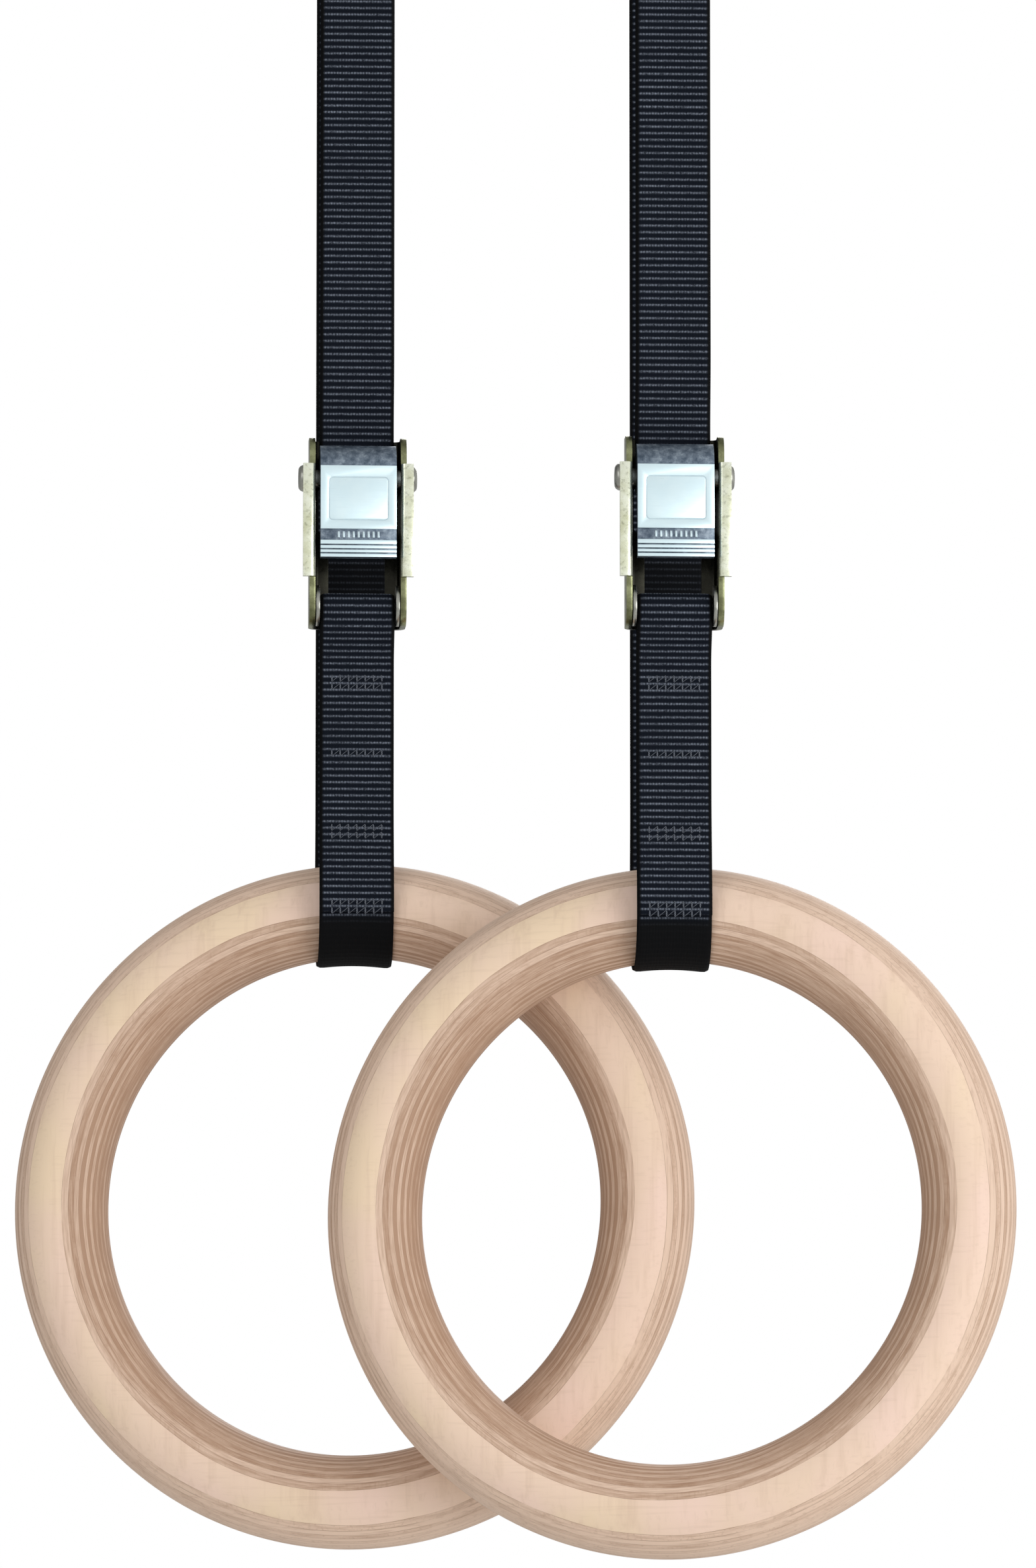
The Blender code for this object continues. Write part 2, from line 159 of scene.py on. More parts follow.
class Bench:
    """One material and the nodes on it."""

    def __init__(self, name, **plain):
        self.material = bpy.data.materials.new(name)
        self.material.use_nodes = True
        self.tree = self.material.node_tree
        self.shader = self.tree.nodes["Principled BSDF"]
        self.feed(self.shader, {socket_name(key): plain[key] for key in plain})

    def feed(self, node, sockets):
        for key, value in sockets.items():
            socket = node.inputs[key]
            if isinstance(value, Wire):
                self.tree.links.new(value.socket, socket)
            else:
                socket.default_value = value

    def node(self, kind, settings, sockets, output=0):
        """Any node: its settings first, then its sockets. A ramp's stops are a setting."""
        node = self.tree.nodes.new(kind)
        for key, value in settings.items():
            if key == "stops":
                ramp = node.color_ramp.elements
                while len(ramp) < len(value):
                    ramp.new(1.0)
                for stop, (place, colour) in zip(ramp, value):
                    stop.position, stop.color = place, (*colour, 1.0)
            else:
                setattr(node, key, value)
        self.feed(node, sockets)
        return Wire(self, node.outputs[output])

    def math(self, operation, a, b=0.0, c=0.0, clamp=False):
        settings = {"operation": operation, "use_clamp": clamp}
        return self.node("ShaderNodeMath", settings, {0: a, 1: b, 2: c})

    def mix(self, factor, a, b):
        sockets = {0: factor, 6: colour(a), 7: colour(b)}
        return self.node("ShaderNodeMix", {"data_type": "RGBA"}, sockets, 2)

    def ramp(self, factor, *stops):
        return self.node("ShaderNodeValToRGB", {"stops": stops}, {0: factor})

    def band(self, value, low, high):
        """0 at low and 1 at high, smooth between them."""
        settings = {"interpolation_type": "SMOOTHSTEP"}
        return self.node("ShaderNodeMapRange", settings, {0: value, 1: low, 2: high})

    def noise(self, place, scale, detail=2.0, roughness=0.5):
        sockets = {"Vector": place, "Scale": scale, "Detail": detail, "Roughness": roughness}
        return self.node("ShaderNodeTexNoise", {}, sockets)

    def stretched(self, place, scale):
        """The place with each axis scaled by its own number."""
        return self.node("ShaderNodeVectorMath", {"operation": "MULTIPLY"}, {0: place, 1: scale})

    def axes(self, place):
        return [self.node("ShaderNodeSeparateXYZ", {}, {0: place}, k) for k in range(3)]

    def object_place(self, centre=(0, 0, 0), turn=0.0):
        """Object coordinates about a centre, turned with the piece about the vertical."""
        place = self.node("ShaderNodeTexCoord", {}, {}, 3)
        sockets = {"Vector": place, "Location": tuple(centre), "Rotation": (0, 0, turn)}
        return self.node("ShaderNodeMapping", {"vector_type": "TEXTURE"}, sockets)

    def bump(self, height, distance, strength=1.0):
        sockets = {"Height": height, "Distance": distance, "Strength": strength}
        return self.node("ShaderNodeBump", {}, sockets)

    def finish(self, **wires):
        self.feed(self.shader, {socket_name(key): wires[key] for key in wires})
        return self.material


def colour(value):
    return value if isinstance(value, Wire) else (*value, 1.0)


# Materials

PLY_T = 1.12 * MM           # one veneer of the plywood
FACE_PLY_T = 0.78 * MM      # what is left of the outermost veneer
SANDED = 0.22               # how far sanding the inside more has moved it outwards


def birch_plywood(name, centre):
    """Turned birch plywood: veneers stacked along the ring's axis, laid crosswise in turn."""
    bench = Bench(name, specular_ior_level=0.3)
    place = bench.object_place(centre, RING_TURN)
    x, y, z = bench.axes(place)
    radius = bench.math("SQRT", x * x + z * z)
    wander = (bench.noise(place, 16.0, 2.0) - 0.5) * (0.9 * MM)
    from_face = y + TUBE_R - (radius - (RING_R - TUBE_R)) * SANDED + wander
    count = (from_face - FACE_PLY_T) / PLY_T + 40.0     # kept above 0, also in front of the face
    ply = bench.math("FLOOR", count)
    within = bench.math("FRACT", count)
    crosswise = bench.math("MODULO", ply, 2.0)
    own = bench.node("ShaderNodeTexWhiteNoise", {"noise_dimensions": "1D"}, {"W": ply})

    # A veneer shows its end grain at the sides of the ring or at the top, by its own lay.
    around = (x * x - z * z) / (radius * radius)
    end_grain = bench.math("MULTIPLY_ADD", (crosswise * 2.0 - 0.6) * around, 0.26, 0.45)
    along_plies = {0: from_face * 3000.0, 1: x / radius * 9.0, 2: z / radius * 9.0}
    streaks = bench.noise(bench.node("ShaderNodeCombineXYZ", {}, along_plies), 1.0, 3.0, 0.65)
    inward = (RING_R - TUBE_R - radius) / TUBE_R
    end_grain = end_grain + (streaks - 0.5) * 1.7 + inward * 0.42
    shown = bench.math("ADD", end_grain, (own - 0.5) * 0.4, clamp=True)

    along_x = bench.noise(bench.stretched(place, (45.0, 1100.0, 900.0)), 1.0, 3.0, 0.6)
    along_z = bench.noise(bench.stretched(place, (900.0, 1100.0, 45.0)), 1.0, 3.0, 0.6)
    fibre = along_x * crosswise + along_z * (1.0 - crosswise)
    pores = bench.band(fibre, 0.50, 0.72)

    edge = bench.mix(shown, (0.76, 0.565, 0.435), (0.42, 0.26, 0.17))
    edge = bench.mix(pores * 0.30, edge, (0.40, 0.245, 0.16))
    patches = bench.noise(bench.stretched(place, (22.0, 22.0, 13.0)), 1.0, 3.0, 0.55)
    face = bench.ramp(
        patches, (0.36, (0.86, 0.64, 0.525)), (0.50, (0.83, 0.63, 0.485)), (0.62, (0.84, 0.655, 0.465)),
    )
    figure = bench.noise(bench.stretched(place, (300.0, 300.0, 16.0)), 1.0, 4.0, 0.6)
    face = bench.mix(bench.band(figure, 0.45, 0.75) * 0.35, face, (0.64, 0.455, 0.33))
    face = bench.mix(pores * 0.10, face, (0.42, 0.27, 0.17))
    is_core = bench.math("GREATER_THAN", from_face, FACE_PLY_T)
    is_core = is_core * bench.math("LESS_THAN", from_face, 2 * TUBE_R - FACE_PLY_T)
    wood = bench.mix(is_core, face, edge)

    line = bench.math("MINIMUM", within, 1.0 - within)
    glue = 1.0 - bench.band(line, 0.015, 0.085)
    glue = glue * is_core * bench.band(bench.noise(place, 60.0, 3.0), 0.35, 0.60)
    wood = bench.mix(glue * 0.55, wood, (0.25, 0.135, 0.085))
    height = fibre * 0.5 - glue * 0.8
    rough = bench.math("MULTIPLY_ADD", fibre, 0.15, 0.50)
    return bench.finish(base_color=wood, roughness=rough, normal=bench.bump(height, 0.05 * MM, 0.6))


def black_webbing():
    """Ribbed polyester webbing. Its own map gives metres across, and ribs along."""
    bench = Bench("black_webbing", specular_ior_level=0.08)
    strip = bench.node("ShaderNodeUVMap", {"uv_map": "weave"}, {})
    across, along, _ = bench.axes(strip)
    # This attribute holds where the strap is pulled flat and where shade is painted: there the crest
    # highlights go and the colour turns near black.
    flat = bench.node("ShaderNodeAttribute", {"attribute_name": "pulled_flat"}, {}, 2)
    turn = 2 * math.pi
    crest = (bench.math("COSINE", along * turn) * 0.5 + 0.5) ** 4.5
    yarns = bench.math("COSINE", across * (turn / (1.0 * MM))) * 0.5 + 0.5
    uneven = bench.noise(bench.stretched(strip, (1400.0, 2.6, 1.0)), 1.0, 2.0, 0.6)
    uneven_highlight = bench.noise(bench.stretched(strip, (90.0, 0.12, 1.0)), 1.0, 2.0, 0.5)
    body = 1.0 - bench.band(bench.math("ABSOLUTE", across), BODY_HALF - 0.6 * MM, BODY_HALF)
    # Painted highlight: the rib crests are coloured lighter, as where light catches them, more in some
    # places than others.
    lit = crest * body * (yarns * 0.6 + 0.4) * bench.band(uneven, 0.22, 0.66) * (1.0 - flat)
    lit = lit * bench.math("MULTIPLY_ADD", uneven_highlight, 0.8, 0.6)
    navy = bench.mix(body * (1.0 - flat), (0.0035, 0.0038, 0.0045), (0.0040, 0.0060, 0.0110))
    cloth = bench.mix(bench.math("ADD", lit, 0.0, clamp=True), navy, (0.180, 0.205, 0.255))
    height = yarns * 0.6 + uneven * 0.4
    rough = bench.math("MULTIPLY_ADD", crest, -0.10, 0.85)
    return bench.finish(base_color=cloth, roughness=rough, normal=bench.bump(height, 0.12 * MM, 0.8))


def sewing_thread():
    bench = Bench("sewing_thread", roughness=0.6, specular_ior_level=0.4)
    place = bench.object_place()
    x, _, z = bench.axes(place)
    twist = bench.math("SINE", (x + z) * 9000.0) * 0.5 + 0.5
    thread = bench.mix(twist, (0.035, 0.042, 0.056), (0.13, 0.145, 0.175))
    return bench.finish(base_color=thread, normal=bench.bump(twist, 0.05 * MM))


def yellow_zinc(name, bar_place):
    """Zinc plated and yellow passivated sheet: straw on the flanges' front faces, with painted shade set
    back from them: olive behind, near black inside the channel.
    """
    bench = Bench(name, metallic=0.9)
    place = bench.object_place(bar_place)
    cloud = bench.noise(place, 130.0, 4.0, 0.6)
    grime = bench.noise(place, 800.0, 3.0, 0.6)
    straw = bench.ramp(
        cloud, (0.30, (0.66, 0.68, 0.48)), (0.50, (0.84, 0.87, 0.70)), (0.68, (0.95, 0.98, 0.86)),
    )
    olive_shade = bench.ramp(
        cloud, (0.30, (0.09, 0.095, 0.045)), (0.50, (0.20, 0.21, 0.11)), (0.68, (0.34, 0.36, 0.20)),
    )
    x, y, _ = bench.axes(place)
    # Painted shade: every face set back behind the flanges' front faces is coloured olive.
    behind = bench.band(y, FLANGE_Y + 0.3 * MM, FLANGE_Y + 2.4 * MM)
    plate = bench.mix(behind, straw, olive_shade)
    plate = bench.mix(bench.band(grime, 0.50, 0.75) * 0.45, plate, (0.10, 0.10, 0.05))
    # Painted shade: the base and the inner faces between the sides, deep in the channel, are coloured
    # near black.
    inside = bench.band(bench.math("ABSOLUTE", x), SIDE_X + 0.4 * MM, SIDE_X)
    inside = inside * bench.band(y, -25 * MM, -20 * MM)
    plate = bench.mix(inside * 0.96, plate, (0.012, 0.011, 0.010))
    rough = bench.math("MULTIPLY_ADD", grime, 0.25, 0.16)
    return bench.finish(base_color=plate, roughness=rough, normal=bench.bump(cloud, 0.06 * MM, 0.6))


def cast_zinc(name, pin):
    """Zinc casting. Its flat front face is bright, and every face set back from it is painted dark grey
    as shade.
    """
    bench = Bench(name, metallic=0.8)
    place = bench.object_place(pin)
    depth = bench.axes(place)[1] - LEVER_FRONT
    # Painted shade: the hub, the sides, the band and the slots, set back from the front face, are
    # coloured dark grey.
    set_back_shade = bench.band(depth, 0.12 * MM, 0.48 * MM)
    brushed = bench.noise(bench.stretched(place, (90.0, 2200.0, 2200.0)), 1.0, 3.0, 0.6)
    cloud = bench.noise(place, 150.0, 3.0, 0.55)
    bright = bench.mix(cloud, (0.70, 0.89, 0.96), (0.82, 0.97, 1.00))
    bright = bench.mix(bench.band(brushed, 0.55, 0.80) * 0.25, bright, (0.58, 0.70, 0.76))
    shade_grey = bench.ramp(
        bench.noise(place, 420.0, 4.0, 0.65),
        (0.34, (0.075, 0.105, 0.145)), (0.52, (0.17, 0.215, 0.27)), (0.66, (0.30, 0.36, 0.42)),
    )
    metal = bench.mix(set_back_shade, bright, shade_grey)
    rough = bench.math("MULTIPLY_ADD", brushed, 0.20, 0.22) + set_back_shade * 0.18
    return bench.finish(base_color=metal, roughness=rough, normal=bench.bump(brushed, 0.03 * MM, 0.5))


def bright_steel():
    bench = Bench("bright_steel", metallic=1.0)
    place = bench.object_place()
    turned = bench.noise(bench.stretched(place, (1800.0, 200.0, 200.0)), 1.0, 3.0, 0.6)
    steel = bench.mix(turned, (0.24, 0.245, 0.22), (0.52, 0.52, 0.47))
    rough = bench.math("MULTIPLY_ADD", turned, 0.18, 0.20)
    return bench.finish(base_color=steel, roughness=rough, normal=bench.bump(turned, 0.02 * MM))


# Modelling helpers


def start(kind, name, scale=(1, 1, 1), **sizes):
    """Adds a primitive with nothing else selected, and puts its place into its mesh."""
    bpy.ops.object.select_all(action="DESELECT")
    getattr(bpy.ops.mesh, f"primitive_{kind}_add")(**sizes)
    piece = bpy.context.object
    piece.name, piece.scale = name, scale
    bpy.ops.object.transform_apply(location=True, rotation=True, scale=True)
    return piece


def block(name, low, high):
    low, high = Vector(low), Vector(high)
    return start("cube", name, size=1.0, location=(low + high) / 2, scale=high - low)


def rod(name, radius, middle, length, vertices=48):
    """A round bar along X."""
    return start(
        "cylinder", name, vertices=vertices, radius=radius, depth=length, location=middle,
        rotation=(0, math.radians(90), 0),
    )


def make_active(piece):
    bpy.ops.object.select_all(action="DESELECT")
    piece.select_set(True)
    bpy.context.view_layer.objects.active = piece


class Editing:
    """Edit mode on one piece, with nothing selected to begin with."""

    def __init__(self, piece, mode):
        self.piece, self.mode = piece, mode

    def __enter__(self):
        make_active(self.piece)
        bpy.ops.object.mode_set(mode="EDIT")
        bpy.ops.mesh.select_mode(type=self.mode)
        bpy.ops.mesh.select_all(action="DESELECT")
        return self

    def __exit__(self, *failure):
        bpy.ops.object.mode_set(mode="OBJECT")

    def pick(self, test):
        """Selects what the test holds for.

        The test is given a vertex's place, an edge's two ends, or a face's centre and normal.
        """
        bm = bmesh.from_edit_mesh(self.piece.data)
        bpy.ops.mesh.select_all(action="DESELECT")
        kinds = {"VERT": bm.verts, "EDGE": bm.edges, "FACE": bm.faces}
        for item in kinds[self.mode]:
            if self.mode == "VERT":
                chosen = test(item.co)
            elif self.mode == "EDGE":
                chosen = test(item.verts[0].co, item.verts[1].co)
            else:
                chosen = test(item.calc_center_median(), item.normal)
            item.select_set(bool(chosen))
        bm.select_flush_mode()
        bmesh.update_edit_mesh(self.piece.data)


def near(a, b, within=0.05 * MM):
    return abs(a - b) < within


def extrude(move):
    """Draws the selected edges out by a move."""
    bpy.ops.mesh.extrude_edges_move(TRANSFORM_OT_translate={"value": move})


def apply_modifier(piece, kind, **settings):
    make_active(piece)
    modifier = piece.modifiers.new(kind, kind)
    for key, value in settings.items():
        setattr(modifier, key, value)
    bpy.ops.object.modifier_apply(modifier=modifier.name)


def combine(piece, tool, operation):
    """Joins a tool to a piece, or cuts the piece with it, and removes the tool."""
    apply_modifier(piece, "BOOLEAN", object=tool, operation=operation, solver="EXACT")
    bpy.data.objects.remove(tool, do_unlink=True)


def join(pieces, name):
    bpy.ops.object.select_all(action="DESELECT")
    for piece in pieces:
        piece.select_set(True)
    bpy.context.view_layer.objects.active = pieces[0]
    bpy.ops.object.join()
    pieces[0].name = name
    return pieces[0]


def ease_edges(piece, width, segments=2, angle=30):
    apply_modifier(
        piece, "BEVEL", width=width, segments=segments, limit_method="ANGLE",
        angle_limit=math.radians(angle), use_clamp_overlap=True,
    )
    make_active(piece)
    bpy.ops.object.shade_smooth_by_angle(angle=math.radians(35))


# Camera, light and floor


def aim(obj, place, target):
    obj.location = place
    obj.rotation_euler = (Vector(target) - Vector(place)).to_track_quat("-Z", "Y").to_euler()


VIEW_AZIMUTH, VIEW_ELEVATION = math.radians(-3.0), math.radians(-8.0)
VIEW_DISTANCE = 5.00
VIEW_HEIGHT = 0.535         # what the picture's height takes in at the object
VIEW_TARGET = Vector((0.0022, 0.0, RING_CENTRE_Z + 0.146))


def make_camera():
    data = bpy.data.cameras.new("camera")
    data.sensor_width = 36.0
    data.lens = data.sensor_width * VIEW_DISTANCE / VIEW_HEIGHT
    camera = bpy.data.objects.new("camera", data)
    bpy.context.scene.collection.objects.link(camera)
    level = math.cos(VIEW_ELEVATION)
    back = Vector((
        math.sin(VIEW_AZIMUTH) * level, -math.cos(VIEW_AZIMUTH) * level, math.sin(VIEW_ELEVATION),
    ))
    aim(camera, VIEW_TARGET + back * VIEW_DISTANCE, VIEW_TARGET)
    bpy.context.scene.camera = camera


def softbox(name, place, size, power, target):
    data = bpy.data.lights.new(name, "AREA")
    data.shape, data.size, data.energy = "SQUARE", size, power
    light = bpy.data.objects.new(name, data)
    bpy.context.scene.collection.objects.link(light)
    aim(light, place, target)


def make_studio():
    middle = Vector((0, 0, RING_CENTRE_Z + 0.1))
    softbox("key", middle + Vector((1.3, -1.6, -0.1)), 1.2, 16.0, middle)
    softbox("fill", middle + Vector((-1.3, -1.1, 0.7)), 1.0, 3.0, middle)
    softbox("back", middle + Vector((0.5, 1.6, 0.9)), 1.0, 10.0, middle)
    world = bpy.data.worlds.new("studio")
    world.use_nodes = True
    tree = world.node_tree
    lighting = tree.nodes["Background"]
    place, lamp, seen, choose, ray = (
        tree.nodes.new(f"ShaderNode{kind}")
        for kind in ("TexCoord", "VectorMath", "Background", "MixShader", "LightPath")
    )
    share = tree.nodes.new("ShaderNodeMapRange")
    lamp.operation, lamp.inputs[1].default_value = "DOT_PRODUCT", Vector((0.5, -0.6, -0.6)).normalized()
    for key, value in (("From Min", -1.0), ("From Max", 1.0), ("To Min", 0.30), ("To Max", 1.06)):
        share.inputs[key].default_value = value
    tree.links.new(place.outputs["Generated"], lamp.inputs[0])
    tree.links.new(lamp.outputs["Value"], share.inputs["Value"])
    tree.links.new(share.outputs["Result"], lighting.inputs["Strength"])
    for shade in (lighting, seen):
        shade.inputs["Color"].default_value = (1.0, 1.0, 1.0, 1.0)
    tree.links.new(ray.outputs["Is Camera Ray"], choose.inputs[0])
    tree.links.new(lighting.outputs[0], choose.inputs[1])
    tree.links.new(seen.outputs[0], choose.inputs[2])
    tree.links.new(choose.outputs[0], tree.nodes["World Output"].inputs["Surface"])
    bpy.context.scene.world = world
    bpy.context.scene.view_settings.view_transform = "Standard"
    floor = start("plane", "floor", location=(0, 0, cad_box[0].z - 0.90), scale=(4.0, 4.0, 1.0))
    bench = Bench("pale_floor", roughness=0.8)
    grain = bench.noise(bench.object_place(), 40.0)
    pale = bench.mix(grain, (0.88, 0.88, 0.87), (0.92, 0.92, 0.91))
    floor.data.materials.append(bench.finish(base_color=pale))


# Webbing


def arc(centre, radius, start_deg, end_deg, steps=24):
    """Points (y, z) on an arc, its angle measured from +Y towards +Z."""
    turns = [math.radians(start_deg + (end_deg - start_deg) * k / steps) for k in range(steps + 1)]
    return [(centre[0] + radius * math.cos(t), centre[1] + radius * math.sin(t)) for t in turns]


def ease(share):
    """0 to 1, slow at both ends."""
    return (1 - math.cos(math.pi * share)) / 2


def eased(begin, end, steps=16):
    """Points of a gentle S between two places, upright at both."""
    (y, z), (y_end, z_end) = begin, end
    shares = [k / steps for k in range(steps + 1)]
    return [(y + (y_end - y) * ease(share), z + (z_end - z) * share) for share in shares]


def spaced(route, step):
    """The route's points again, evenly spaced, with the distance along it."""
    points = np.array(route)
    runs = np.hypot(*np.diff(points, axis=0).T)
    points = points[np.concatenate([[True], runs > 1e-7])]
    along = np.concatenate([[0.0], np.cumsum(np.hypot(*np.diff(points, axis=0).T))])
    count = max(2, round(along[-1] / step))
    places = np.linspace(0.0, along[-1], count + 1)
    return np.stack([np.interp(places, along, points[:, k]) for k in (0, 1)], 1), places


BODY_HALF = 11.9 * MM       # half the width that has ribs, inside the selvedges


def webbing(name, route, material, flat_and_shaded_below=None, painted_shade_between=None):
    """Ribbed webbing along a route of (y, z) points: round selvedges, and a rib for every pitch.

    It is pulled flat below one height, and there its colour is also painted dark as shade. Between two
    others the rear run's front face is painted dark, as shade inside the buckle.
    """
    points, along = spaced(route, RIB_PITCH / 5)
    going = np.gradient(points, axis=0)
    going /= np.hypot(*going.T)[:, None]
    out = np.stack([-going[:, 1], going[:, 0]], 1)
    columns = 16
    across = -np.cos(np.pi * np.arange(columns + 1) / columns) * 0.35
    across = (across + 0.65 * np.linspace(-1, 1, columns + 1)) * WEB_W / 2
    half = WEB_T / 2 * np.sqrt(np.clip(1 - np.abs(across / (WEB_W / 2)) ** 14, 0, 1))
    body = np.clip((BODY_HALF - np.abs(across)) / (0.8 * MM), 0, 1)
    ribs = along / RIB_PITCH
    valley = 1 - (0.5 + 0.5 * np.cos(2 * np.pi * ribs)) ** 1.4
    # Below that height the ribs are pulled flat, and the same share paints the strap dark there, as
    # shade at the bend under the tube.
    pulled = np.zeros(len(along))
    if flat_and_shaded_below is not None:
        pulled = np.clip((flat_and_shaded_below - points[:, 1]) / (4 * MM), 0, 1)
        pulled = pulled * pulled * (3 - 2 * pulled)
    groove = (valley * (1 - 0.8 * pulled))[:, None] * RIB_DEPTH
    selvedge = RIB_DEPTH * 0.4 * (1 - body) * (half > 1e-6)
    upper = half[None, :] - groove * body[None, :] - selvedge[None, :]
    order = [(k, 1) for k in range(columns + 1)] + [(k, -1) for k in range(columns - 1, 0, -1)]
    # Painted shade: this stretch of the rear run, inside the buckle, is coloured dark as if in the
    # lever's shadow.
    painted_shade = np.zeros(len(along))
    if painted_shade_between is not None:
        low, high = painted_shade_between
        reach = (high - low) / 2 - np.abs(points[:, 1] - (low + high) / 2)
        painted_shade = 0.85 * np.clip(reach / (5 * MM), 0, 1) * (points[:, 0] > 0)
    shells, maps, flat_and_shade = [], [], []
    for k, sign in order:
        lift = np.clip(upper[:, k], 0, None) * sign
        rows = np.stack([np.full(len(along), across[k]), *(points + out * lift[:, None]).T], 1)
        shells.append(rows)
        maps.append(np.stack([np.full(len(along), across[k]), ribs], 1))
        flat_and_shade.append(np.maximum(pulled, painted_shade * (sign < 0)))
    places = np.stack(shells, 1).reshape(-1, 3)
    rim = len(order)
    faces = []
    for row in range(len(along) - 1):
        for k in range(rim):
            n = (k + 1) % rim
            faces.append((row * rim + k, (row + 1) * rim + k, (row + 1) * rim + n, row * rim + n))
    last = (len(along) - 1) * rim
    faces += [tuple(range(rim)), tuple(range(last + rim - 1, last - 1, -1))]
    mesh = bpy.data.meshes.new(name)
    mesh.from_pydata(places.tolist(), [], faces)
    mesh.update()
    corners = np.zeros(len(mesh.loops), np.int32)
    mesh.loops.foreach_get("vertex_index", corners)
    weave = np.stack(maps, 1).reshape(-1, 2)[corners]
    mesh.uv_layers.new(name="weave").data.foreach_set("uv", weave.ravel())
    flat = mesh.attributes.new("pulled_flat", "FLOAT", "POINT")
    flat.data.foreach_set("value", np.stack(flat_and_shade, 1).ravel())
    mesh.shade_smooth()
    mesh.materials.append(material)
    piece = bpy.data.objects.new(name, mesh)
    bpy.context.scene.collection.objects.link(piece)
    make_active(piece)
    bpy.ops.object.mode_set(mode="EDIT")
    bpy.ops.mesh.select_all(action="SELECT")
    bpy.ops.mesh.normals_make_consistent(inside=False)
    bpy.ops.object.mode_set(mode="OBJECT")
    return piece, along[-1]


def upper_strap(material):
    """Up behind, over the bar, down in front, round the buckle's top bar and up as the tail."""
    behind, before = BASE_Y + SHEET_T + WEB_T / 2 + 0.2 * MM, BASE_Y - WEB_T / 2 - 0.2 * MM
    above, below = up(FRAME_HIGH + 30 * MM), up(FRAME_HIGH + 2 * MM)
    tail_y = -RUN_Y - WEB_T - 0.4 * MM
    route = [(RUN_Y, SPLIT_Z + 0.02 * MM), (RUN_Y, -0.1 * MM)]
    route += arc((0, 0), RUN_Y, 0, 180)
    route += eased((-RUN_Y, above), (behind, below))
    route += arc(((behind + before) / 2, up(WINDOW_HIGH)), (behind - before) / 2, 0, -180)
    route += eased((before, below), (tail_y, above))
    route += [(tail_y, TAIL_TOP)]
    return webbing("upper_strap", route, material)


def lower_strap(material):
    """Down behind, under the tube, up in front, round the fixed bar and down as the sewn lap."""
    bend = FIXED_BAR_R + GAP + WEB_T / 2
    bar_z = up(FIXED_BAR.z)
    split, bight = up(SPLIT_HIGH), up(BIGHT_HIGH)
    out = BIGHT_Y - RUN_Y
    route = [(RUN_Y, SPLIT_Z - 0.02 * MM)]
    route += eased((RUN_Y, split), (BIGHT_Y, bight))
    route += [(BIGHT_Y * y, bight + BIGHT_DROP * z) for y, z in arc((0, 0), 1, 0, -180, 60)[1:-1]]
    route += eased((-BIGHT_Y, bight), (-RUN_Y, split))
    route += eased((-RUN_Y, up(186 * MM)), (FIXED_BAR.y + bend, bar_z - 5 * MM))
    route += arc((FIXED_BAR.y, bar_z), bend, 0, 180)
    route += eased((FIXED_BAR.y - bend, bar_z - 1 * MM), (-LAP_Y, up(184 * MM)))
    route += eased((-LAP_Y, split), (-LAP_Y - out, bight))
    route += [(-LAP_Y - out, SEWN_LOW)]
    piece, length = webbing(
        "lower_strap", route, material,
        flat_and_shaded_below=up(99 * MM), painted_shade_between=(up(204 * MM), up(229 * MM)),
    )
    # Under the tube it follows the ring's curve, so its middle stands higher than its edges.
    for vertex in piece.data.vertices:
        share = max((up(BIGHT_HIGH) - vertex.co.z) / BIGHT_DROP, 0.0)
        vertex.co.z += BIGHT_CROWN * share * (1 - (2 * vertex.co.x / WEB_W) ** 2)
    return piece, length


def flare(height):
    """How much further forward the sewn lap stands than it does above the split."""
    share = min(max((SPLIT_HIGH - height) / (SPLIT_HIGH - BIGHT_HIGH), 0.0), 1.0)
    return (BIGHT_Y - RUN_Y) * ease(share)


TACK_ROWS = ((179.4, 176.5), (153.6,), (127.8, 125.1), (101.9, 98.9))     # heights in millimetres
TICKS, TICK_SPACING, TICK_LENGTH, TICK_R = 7, 2.85 * MM, 2.3 * MM, 0.30 * MM
TIE_R = 0.13 * MM


def bar_tack(number, rows, material):
    """Short upright stitches in one or two rows, over a thin zigzag that ties them."""
    tie, lean = math.hypot(TICK_SPACING, TICK_LENGTH), math.atan2(TICK_SPACING, TICK_LENGTH)
    ticks = []
    for height in rows:
        front = -LAP_Y - WEB_T / 2 - flare(height * MM)
        middle = up(height * MM)
        for k in range(TICKS):
            x = (k - (TICKS - 1) / 2) * TICK_SPACING
            ticks.append(start(
                "uv_sphere", "tick", segments=10, ring_count=8, radius=TICK_R,
                location=(x, front + 0.05 * MM, middle), scale=(1.0, 1.0, TICK_LENGTH / 2 / TICK_R),
            ))
            if k < TICKS - 1:
                ticks.append(start(
                    "cylinder", "tie", vertices=6, radius=TIE_R, depth=tie,
                    location=(x + TICK_SPACING / 2, front + 0.08 * MM, middle), rotation=(0, lean, 0),
                ))
    piece = join(ticks, f"bar_tack_{number}")
    piece.data.materials.append(material)
    make_active(piece)
    bpy.ops.object.shade_smooth()
    return piece


# Buckle


